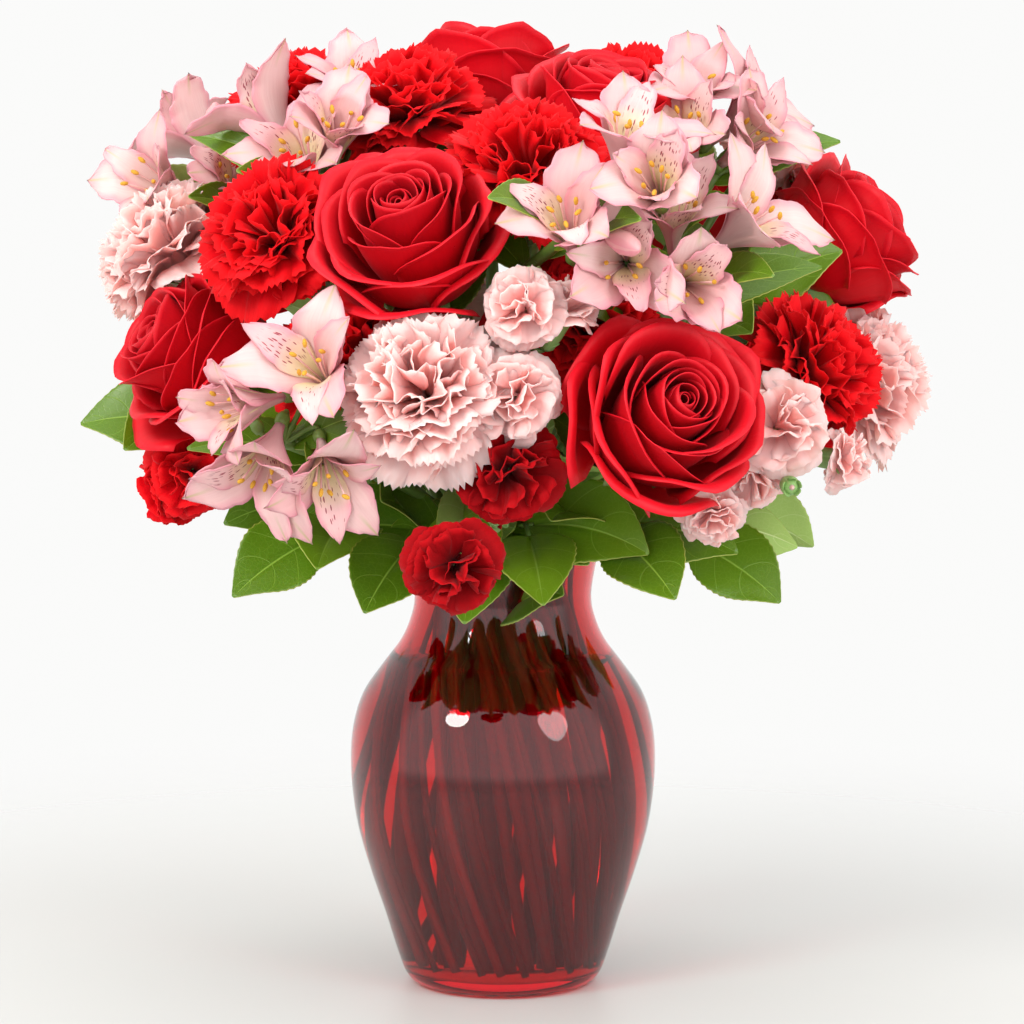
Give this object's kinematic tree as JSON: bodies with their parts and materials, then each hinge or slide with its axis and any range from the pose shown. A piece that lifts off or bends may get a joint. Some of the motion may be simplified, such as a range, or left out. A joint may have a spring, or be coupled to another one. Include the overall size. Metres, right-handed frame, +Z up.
{
  "type": "bouquet in a vase",
  "caption": "Round mixed bouquet of roses, carnations, mini carnations, alstroemeria and leafy stems standing in water in a ruby glass vase.",
  "frame": {"origin": "centre of the vase's flat underside", "axes": "+Z up along the vase's axis, -Y towards the bouquet's face, +X to the right of someone looking at its face"},
  "size_m": [0.3813, 0.3506, 0.4245],
  "materials": {
    "ruby_glass": "clear ruby glass, polished",
    "water": "clear water",
    "rose_petals": "velvety crimson petals on a green stem",
    "red_petals": "ruffled scarlet petals on a green stem",
    "pink_petals": "ruffled pale pink petals on a green stem",
    "crimson_petals": "ruffled dark crimson petals on a green stem",
    "alstroemeria_petals": "satin pale lilac-pink petals on a green stem",
    "leaves": "satin mid-green leaves"
  },
  "bodies": {
    "root": {"vase": "ruby_glass", "water": "water", "rose_1": "rose_petals", "rose_2": "rose_petals", "rose_3": "rose_petals", "rose_4": "rose_petals", "rose_5": "rose_petals", "rose_6": "rose_petals", "rose_7": "rose_petals", "rose_8": "rose_petals", "rose_9": "rose_petals", "red_carnation_1": "red_petals", "red_carnation_2": "red_petals", "red_carnation_3": "red_petals", "red_carnation_4": "red_petals", "red_carnation_5": "red_petals", "red_carnation_6": "red_petals", "red_carnation_7": "red_petals", "red_carnation_8": "red_petals", "red_carnation_9": "red_petals", "red_carnation_10": "red_petals", "red_carnation_11": "red_petals", "pink_carnation_1": "pink_petals", "pink_carnation_2": "pink_petals", "pink_carnation_3": "pink_petals", "pink_carnation_4": "pink_petals", "pink_carnation_5": "pink_petals", "pink_mini_1": "pink_petals", "pink_mini_2": "pink_petals", "pink_mini_3": "pink_petals", "pink_mini_4": "pink_petals", "red_mini_1": "crimson_petals", "red_mini_2": "crimson_petals", "red_mini_3": "crimson_petals", "alstroemeria_1": "alstroemeria_petals", "alstroemeria_2": "alstroemeria_petals", "alstroemeria_3": "alstroemeria_petals", "alstroemeria_4": "alstroemeria_petals", "alstroemeria_5": "alstroemeria_petals", "alstroemeria_6": "alstroemeria_petals", "alstroemeria_7": "alstroemeria_petals", "alstroemeria_8": "alstroemeria_petals", "leafy_stem_1": "leaves", "leafy_stem_2": "leaves", "leafy_stem_3": "leaves", "leafy_stem_4": "leaves", "leafy_stem_5": "leaves", "leafy_stem_6": "leaves", "leafy_stem_7": "leaves", "leafy_stem_8": "leaves", "leafy_stem_9": "leaves", "leafy_stem_10": "leaves", "leafy_stem_11": "leaves", "leafy_stem_12": "leaves"}
  },
  "joints": []
}
